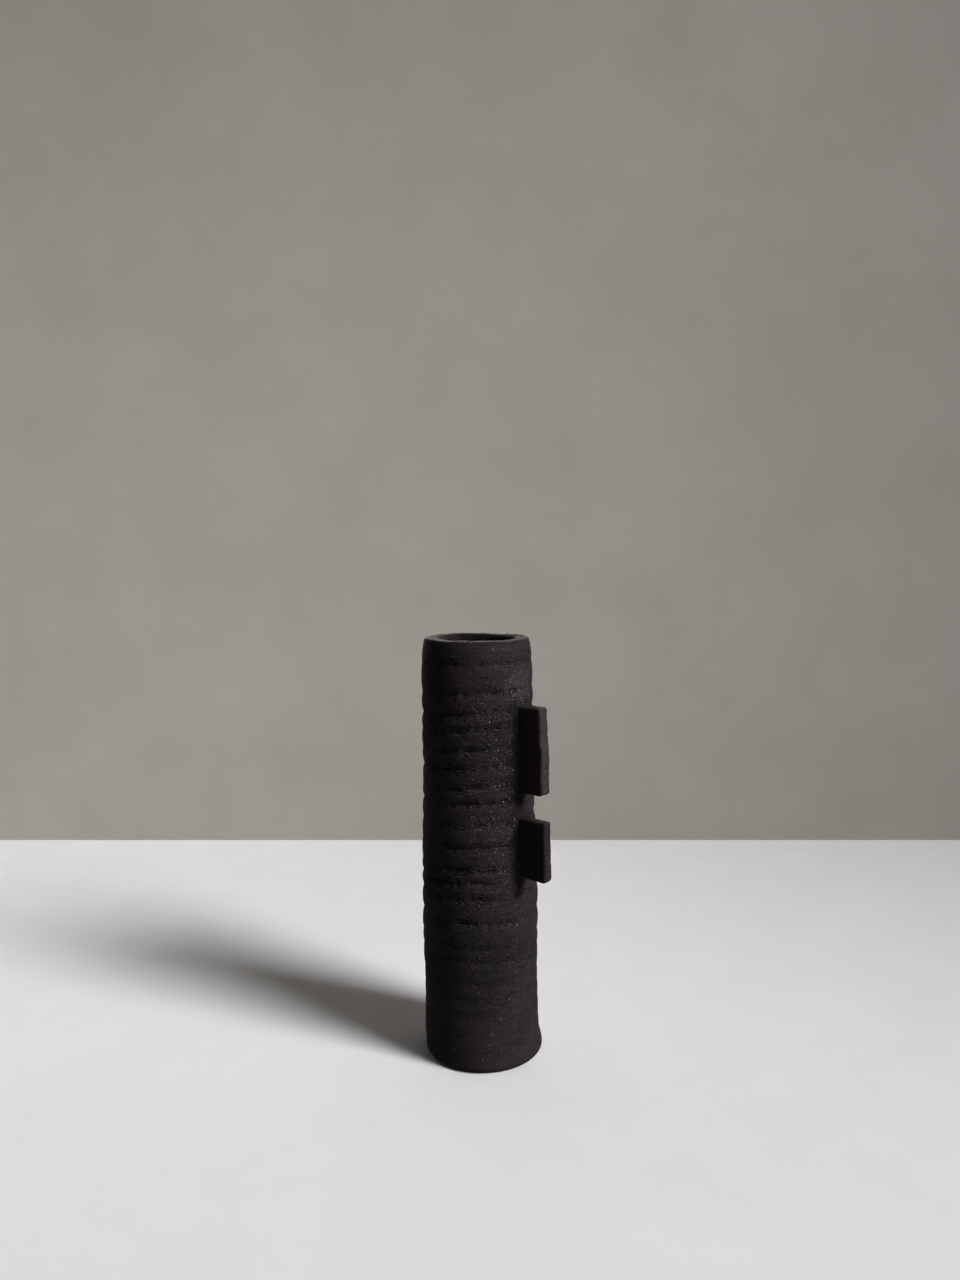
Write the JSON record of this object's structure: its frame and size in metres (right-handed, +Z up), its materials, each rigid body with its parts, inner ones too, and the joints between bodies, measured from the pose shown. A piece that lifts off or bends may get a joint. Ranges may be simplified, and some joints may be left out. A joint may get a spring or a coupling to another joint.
{
  "type": "stoneware vase",
  "caption": "Tall, narrow coil-built vase of dark unglazed stoneware, open at the top, with short slab fins standing out one above the other from its side.",
  "frame": {"origin": "centre of the foot slab's flat underside, where the vase stands", "axes": "+Z up from the foot to the rim; +X out of the side that carries the fins, in the lower fin's mid plane"},
  "size_m": [0.0983, 0.0804, 0.28],
  "materials": {
    "coil_clay": "unglazed, coarse, torn and scraped",
    "slab_clay": "unglazed, rolled and cut, slightly smoother",
    "joint_clay": "unglazed, thumbed smooth"
  },
  "bodies": {
    "root": {"foot_slab": "slab_clay", "coil_01": "coil_clay", "coil_02": "coil_clay", "coil_03": "coil_clay", "coil_04": "coil_clay", "coil_05": "coil_clay", "coil_06": "coil_clay", "coil_07": "coil_clay", "coil_08": "coil_clay", "coil_09": "coil_clay", "coil_10": "coil_clay", "coil_11": "coil_clay", "coil_12": "coil_clay", "coil_13": "coil_clay", "coil_14": "coil_clay", "coil_15": "coil_clay", "coil_16": "coil_clay", "coil_17": "coil_clay", "coil_18": "coil_clay", "coil_19": "coil_clay", "coil_20": "coil_clay", "rim_coil": "coil_clay", "upper_fin": "slab_clay", "lower_fin": "slab_clay", "upper_fin_collar": "joint_clay", "lower_fin_collar": "joint_clay"}
  },
  "joints": []
}
